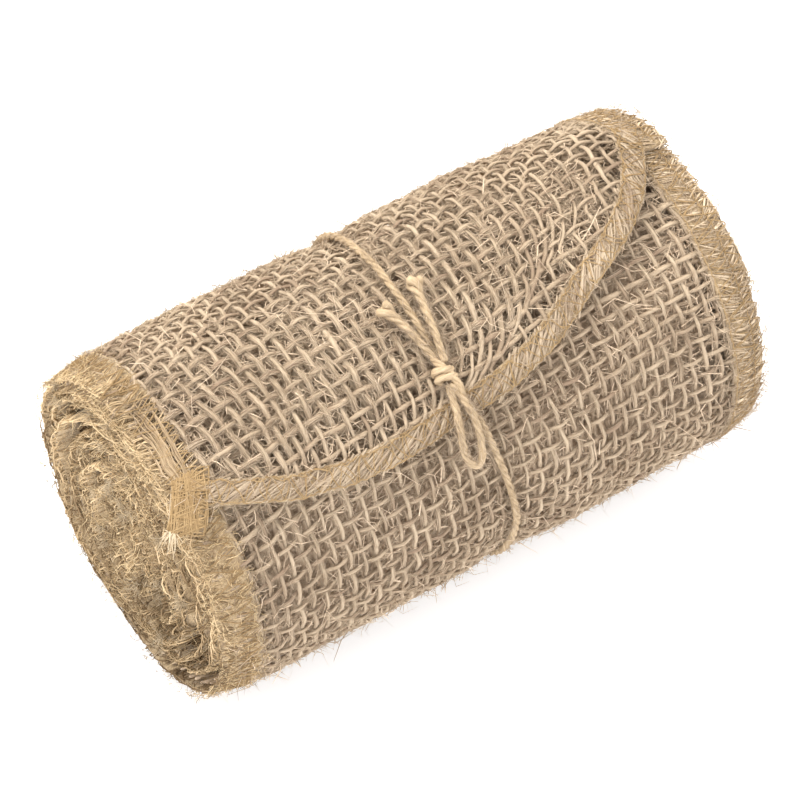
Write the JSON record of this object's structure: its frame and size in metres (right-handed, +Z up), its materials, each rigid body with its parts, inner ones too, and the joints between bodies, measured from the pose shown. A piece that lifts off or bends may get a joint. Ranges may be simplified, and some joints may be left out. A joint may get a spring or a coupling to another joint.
{
  "type": "ribbon roll",
  "caption": "Roll of open-weave jute ribbon with overlocked edges and a free corner, tied round its middle with a twine bow.",
  "frame": {"origin": "middle of the overall box, on the plane that the flattened underside rests on", "axes": "+X along the roll, towards the end that the end hem sweeps up to; +Z up; the end hem and the bow's loop show on the -Y side"},
  "size_m": [0.149, 0.0838, 0.0814],
  "materials": {
    "cloth": "matte",
    "hem": "matte",
    "twine": "matte"
  },
  "bodies": {
    "roll": {"outer_wrap": "cloth", "inner_turns": "cloth", "inner_end_hem": "hem", "left_edge_hem": "hem", "right_edge_hem": "hem", "free_end_flap": "cloth", "left_flap_hem": "hem", "end_hem": "hem"},
    "corner": {"corner_cloth": "cloth", "corner_end_hem": "hem", "corner_side_hem": "hem", "corner_tab": "hem"},
    "tie": {"tie_ring": "twine", "bow_knot": "twine"},
    "loop": {"bow_loop": "twine"},
    "tail_left": {"left_tail": "twine"},
    "tail_right": {"right_tail": "twine"}
  },
  "joints": [
    {"name": "tie_slide", "type": "slide", "parent": "roll", "child": "tie", "axis": [1, 0, 0], "range_m": [-0.022, 0.04], "deforming": ["outer_wrap"]},
    {"name": "corner_lift", "type": "hinge", "parent": "roll", "child": "corner", "pos_m": [-0.05225, -0.02121, 0.07353], "axis": [-0.7851, 0.545, 0.2941], "range_deg": [0, 75]},
    {"name": "bow_loop_lift", "type": "hinge", "parent": "tie", "child": "loop", "pos_m": [-0.0031, -0.02846, 0.07161], "axis": [-1, 0, 0], "range_deg": [0, 80]},
    {"name": "left_tail_lift", "type": "hinge", "parent": "tie", "child": "tail_left", "pos_m": [-0.0045, -0.02186, 0.07562], "axis": [1, 0, 0], "range_deg": [0, 80]},
    {"name": "right_tail_lift", "type": "hinge", "parent": "tie", "child": "tail_right", "pos_m": [-0.0017, -0.0221, 0.07606], "axis": [1, 0, 0], "range_deg": [0, 80]}
  ]
}
